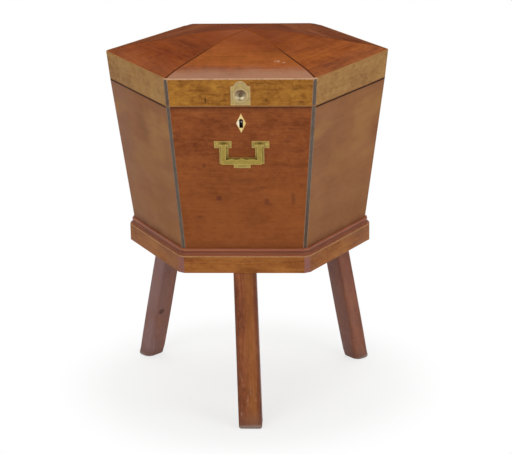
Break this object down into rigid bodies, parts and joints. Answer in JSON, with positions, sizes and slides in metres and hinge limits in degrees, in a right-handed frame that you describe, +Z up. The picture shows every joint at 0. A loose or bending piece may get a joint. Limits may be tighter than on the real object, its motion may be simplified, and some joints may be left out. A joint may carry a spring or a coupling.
{
  "type": "cellarette",
  "caption": "Hexagonal mahogany cellarette: case with a hinged domed lid and bottle places, brass bail handles, lock, on splayed legs.",
  "frame": {"origin": "on the floor, under the middle of the hexagon", "axes": "+Z up, front with the keyhole towards -Y, +X to the right seen from the front"},
  "size_m": [0.4656, 0.4131, 0.624],
  "materials": {
    "case_front_mahogany": "worn wax polish",
    "case_side_mahogany": "worn wax polish, faded",
    "lid_mahogany": "wax polish",
    "lid_rail_wood": "worn wax polish, mottled",
    "base_mahogany": "worn wax polish",
    "moulding_mahogany": "wax polish",
    "leg_mahogany": "worn wax polish",
    "platform_wood": "bare, darkened",
    "inner_wood": "bare",
    "ebony": "polished",
    "boxwood": "polished",
    "brass": "old, rubbed",
    "steel": "dull",
    "bone": "yellowed, polished"
  },
  "bodies": {
    "stand_and_case": {"leg_front": "leg_mahogany", "leg_back_left": "leg_mahogany", "leg_back_right": "leg_mahogany", "base_board": "platform_wood", "base_rail_front": "base_mahogany", "case_panel_front": "case_front_mahogany", "base_rail_front_right": "base_mahogany", "case_panel_front_right": "case_side_mahogany", "base_rail_back_right": "base_mahogany", "case_panel_back_right": "case_side_mahogany", "base_rail_back": "base_mahogany", "case_panel_back": "case_side_mahogany", "base_rail_back_left": "base_mahogany", "case_panel_back_left": "case_side_mahogany", "base_rail_front_left": "base_mahogany", "case_panel_front_left": "case_side_mahogany", "base_moulding": "moulding_mahogany", "base_boxwood_line": "boxwood", "case_boxwood_lines": "boxwood", "case_ebony_corners": "ebony", "case_bottom": "inner_wood", "bottle_divider_a": "inner_wood", "bottle_divider_b": "inner_wood", "bottle_divider_c": "inner_wood", "lock_case": "brass", "keyhole_escutcheon": "bone", "front_handle_plate": "brass", "front_handle_pins": "steel", "back_handle_plate": "brass", "back_handle_pins": "steel", "hinge_left_case_leaf": "brass", "hinge_right_case_leaf": "brass", "hinge_pins": "steel", "case_brass_screws": "brass"},
    "lid": {"lid_rail_front": "lid_rail_wood", "lid_top_front": "lid_mahogany", "lid_rail_front_right": "lid_rail_wood", "lid_top_front_right": "lid_mahogany", "lid_rail_back_right": "lid_rail_wood", "lid_top_back_right": "lid_mahogany", "lid_rail_back": "lid_rail_wood", "lid_top_back": "lid_mahogany", "lid_rail_back_left": "lid_rail_wood", "lid_top_back_left": "lid_mahogany", "lid_rail_front_left": "lid_rail_wood", "lid_top_front_left": "lid_mahogany", "lid_boxwood_lines": "boxwood", "lid_ebony_lines": "ebony", "lock_link_plate": "brass", "hinge_left_lid_leaf": "brass", "hinge_right_lid_leaf": "brass", "lid_brass_screws": "brass", "lid_pull_plate": "brass", "lid_pull_knob": "brass"},
    "lock_bolt": {"lock_bolt": "steel"},
    "front_bail": {"front_handle_bail": "brass"},
    "back_bail": {"back_handle_bail": "brass"}
  },
  "joints": [
    {"name": "lid_hinge", "type": "hinge", "parent": "stand_and_case", "child": "lid", "pos_m": [0, 0.2024, 0.54355], "axis": [-1, 0, 0], "range_deg": [0, 95]},
    {"name": "lock_bolt_slide", "type": "slide", "parent": "stand_and_case", "child": "lock_bolt", "axis": [1, 0, 0], "range_m": [0, 0.006]},
    {"name": "front_bail_hinge", "type": "hinge", "parent": "stand_and_case", "child": "front_bail", "pos_m": [0, -0.196, 0.48044], "axis": [-1, 0, 0], "range_deg": [-8, 95]},
    {"name": "back_bail_hinge", "type": "hinge", "parent": "stand_and_case", "child": "back_bail", "pos_m": [0, 0.196, 0.48044], "axis": [1, 0, 0], "range_deg": [-8, 95]}
  ]
}
